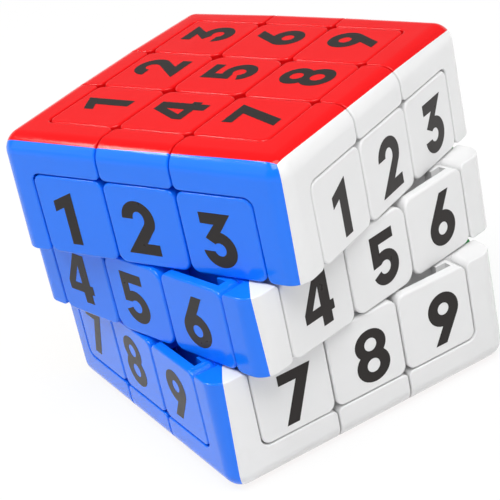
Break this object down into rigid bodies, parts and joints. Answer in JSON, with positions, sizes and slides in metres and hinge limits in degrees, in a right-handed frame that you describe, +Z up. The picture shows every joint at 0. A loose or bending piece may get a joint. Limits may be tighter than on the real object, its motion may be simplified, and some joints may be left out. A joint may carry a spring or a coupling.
{
  "type": "sudoku cube",
  "caption": "Twisty puzzle cube with a digit on every tile, held with its stacked layers fanned out; the top and bottom layers turn about the upright axis.",
  "frame": {"origin": "middle of the bottom face", "axes": "+Z up along the turning axis of the layers; the middle layer's blue face looks along -Y and its white face along +X"},
  "size_m": [0.0654, 0.0654, 0.056],
  "materials": {
    "red_plastic": "gloss",
    "blue_plastic": "gloss",
    "white_plastic": "gloss",
    "orange_plastic": "gloss",
    "green_plastic": "gloss",
    "yellow_plastic": "gloss",
    "inner_plastic": "satin",
    "steel": "zinc plated"
  },
  "bodies": {
    "middle_layer": {"core_hub": "inner_plastic", "axis_screw_red": "steel", "spring_red": "steel", "spring_washer_red": "steel", "axis_screw_blue": "steel", "spring_blue": "steel", "spring_washer_blue": "steel", "axis_screw_white": "steel", "spring_white": "steel", "spring_washer_white": "steel", "axis_screw_orange": "steel", "spring_orange": "steel", "spring_washer_orange": "steel", "axis_screw_green": "steel", "spring_green": "steel", "spring_washer_green": "steel", "axis_screw_yellow": "steel", "spring_yellow": "steel", "spring_washer_yellow": "steel", "edge_blue_white": "blue_plastic", "edge_white_green": "white_plastic", "edge_green_yellow": "green_plastic", "edge_yellow_blue": "yellow_plastic"},
    "top_layer": {"edge_red_blue": "red_plastic", "edge_red_white": "red_plastic", "edge_red_green": "red_plastic", "edge_red_yellow": "red_plastic", "corner_red_blue_white": "red_plastic", "corner_foot_red_blue_white": "inner_plastic", "corner_red_white_green": "red_plastic", "corner_foot_red_white_green": "inner_plastic", "corner_red_green_yellow": "red_plastic", "corner_foot_red_green_yellow": "inner_plastic", "corner_red_yellow_blue": "red_plastic", "corner_foot_red_yellow_blue": "inner_plastic"},
    "bottom_layer": {"edge_orange_blue": "orange_plastic", "edge_orange_white": "orange_plastic", "edge_orange_green": "orange_plastic", "edge_orange_yellow": "orange_plastic", "corner_orange_white_blue": "orange_plastic", "corner_foot_orange_white_blue": "inner_plastic", "corner_orange_green_white": "orange_plastic", "corner_foot_orange_green_white": "inner_plastic", "corner_orange_yellow_green": "orange_plastic", "corner_foot_orange_yellow_green": "inner_plastic", "corner_orange_blue_yellow": "orange_plastic", "corner_foot_orange_blue_yellow": "inner_plastic"},
    "centre_red": {"centre_base_red": "inner_plastic", "centre_cap_red": "red_plastic"},
    "centre_blue": {"centre_base_blue": "inner_plastic", "centre_cap_blue": "blue_plastic"},
    "centre_white": {"centre_base_white": "inner_plastic", "centre_cap_white": "white_plastic"},
    "centre_orange": {"centre_base_orange": "inner_plastic", "centre_cap_orange": "orange_plastic"},
    "centre_green": {"centre_base_green": "inner_plastic", "centre_cap_green": "green_plastic"},
    "centre_yellow": {"centre_base_yellow": "inner_plastic", "centre_cap_yellow": "yellow_plastic"}
  },
  "joints": [
    {"name": "top_turn", "type": "hinge", "parent": "middle_layer", "child": "top_layer", "pos_m": [0, 0, 0.028], "axis": [0, 0, 1], "continuous": true},
    {"name": "bottom_turn", "type": "hinge", "parent": "middle_layer", "child": "bottom_layer", "pos_m": [0, 0, 0.028], "axis": [0, 0, -1], "continuous": true},
    {"name": "centre_red_pull", "type": "slide", "parent": "top_layer", "child": "centre_red", "axis": [0, 0, 1], "range_m": [0, 0.0008], "stiffness_N_per_m": 400, "springref_m": -0.0005, "deforming": ["spring_red"]},
    {"name": "centre_blue_pull", "type": "slide", "parent": "middle_layer", "child": "centre_blue", "axis": [0, -1, 0], "range_m": [0, 0.0008], "stiffness_N_per_m": 400, "springref_m": -0.0005, "deforming": ["spring_blue"]},
    {"name": "centre_white_pull", "type": "slide", "parent": "middle_layer", "child": "centre_white", "axis": [1, 0, 0], "range_m": [0, 0.0008], "stiffness_N_per_m": 400, "springref_m": -0.0005, "deforming": ["spring_white"]},
    {"name": "centre_orange_pull", "type": "slide", "parent": "bottom_layer", "child": "centre_orange", "axis": [0, 0, -1], "range_m": [0, 0.0008], "stiffness_N_per_m": 400, "springref_m": -0.0005, "deforming": ["spring_orange"]},
    {"name": "centre_green_pull", "type": "slide", "parent": "middle_layer", "child": "centre_green", "axis": [0, 1, 0], "range_m": [0, 0.0008], "stiffness_N_per_m": 400, "springref_m": -0.0005, "deforming": ["spring_green"]},
    {"name": "centre_yellow_pull", "type": "slide", "parent": "middle_layer", "child": "centre_yellow", "axis": [-1, 0, 0], "range_m": [0, 0.0008], "stiffness_N_per_m": 400, "springref_m": -0.0005, "deforming": ["spring_yellow"]}
  ]
}
